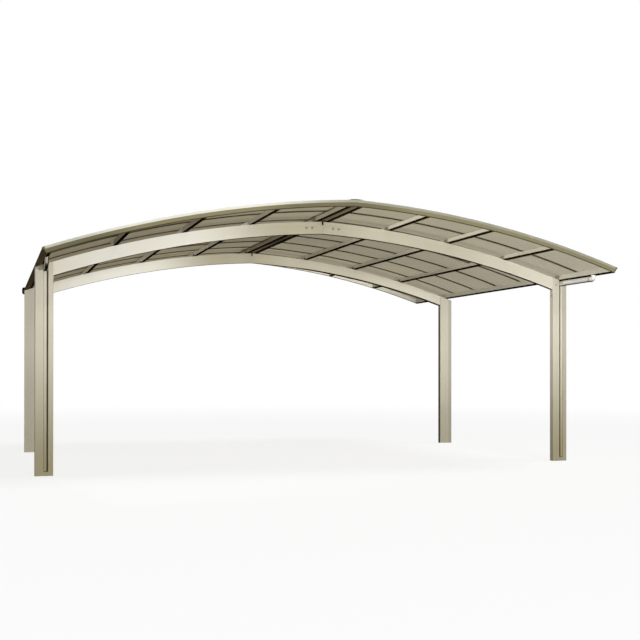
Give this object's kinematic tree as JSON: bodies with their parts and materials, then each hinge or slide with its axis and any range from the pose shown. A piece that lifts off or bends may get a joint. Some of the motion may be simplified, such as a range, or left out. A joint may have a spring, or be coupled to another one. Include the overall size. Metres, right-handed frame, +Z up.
{
  "type": "carport",
  "caption": "Open double carport: slim grooved posts carry arched hollow beams, purlins and a twin-arc roof of smoked sheets with eave gutters.",
  "frame": {"origin": "on the ground in the middle of the plan: the middle of the bounding box's bottom face", "axes": "+X across the bay to the right seen from the front, +Y from the front to the back, +Z up"},
  "size_m": [6.37, 5.656, 2.9067],
  "materials": {
    "aluminium": "satin bronze-beige anodised",
    "frame_aluminium": "satin olive-bronze anodised",
    "roof_panel": "smoked translucent sheet",
    "drain_pipe": "semi-gloss pale beige pipe"
  },
  "bodies": {
    "root": {"beam_front_left": "aluminium", "beam_front_right": "aluminium", "beam_rear_left": "aluminium", "beam_rear_right": "aluminium", "beam_splice_front": "aluminium", "beam_splice_rear": "aluminium", "drain_pipe_left": "drain_pipe", "drain_pipe_right": "drain_pipe", "fascia_front_left": "frame_aluminium", "fascia_front_right": "frame_aluminium", "fascia_rear_left": "frame_aluminium", "fascia_rear_right": "frame_aluminium", "groove_covers": "aluminium", "gutter_left": "frame_aluminium", "gutter_right": "frame_aluminium", "post_front_left": "aluminium", "post_front_right": "aluminium", "post_rear_left": "aluminium", "post_rear_right": "aluminium", "purlin_left_1": "aluminium", "purlin_left_2": "aluminium", "purlin_left_3": "aluminium", "purlin_right_1": "aluminium", "purlin_right_2": "aluminium", "purlin_right_3": "aluminium", "rafter_left_1": "aluminium", "rafter_left_2": "aluminium", "rafter_left_3": "aluminium", "rafter_left_4": "aluminium", "rafter_left_5": "aluminium", "rafter_left_6": "aluminium", "rafter_left_7": "aluminium", "rafter_right_1": "aluminium", "rafter_right_2": "aluminium", "rafter_right_3": "aluminium", "rafter_right_4": "aluminium", "rafter_right_5": "aluminium", "rafter_right_6": "aluminium", "rafter_right_7": "aluminium", "ridge_channel": "aluminium", "ridge_cover": "frame_aluminium", "ridge_purlin_left": "aluminium", "ridge_purlin_right": "aluminium", "roof_panels_left": "roof_panel", "roof_panels_right": "roof_panel"}
  },
  "joints": []
}
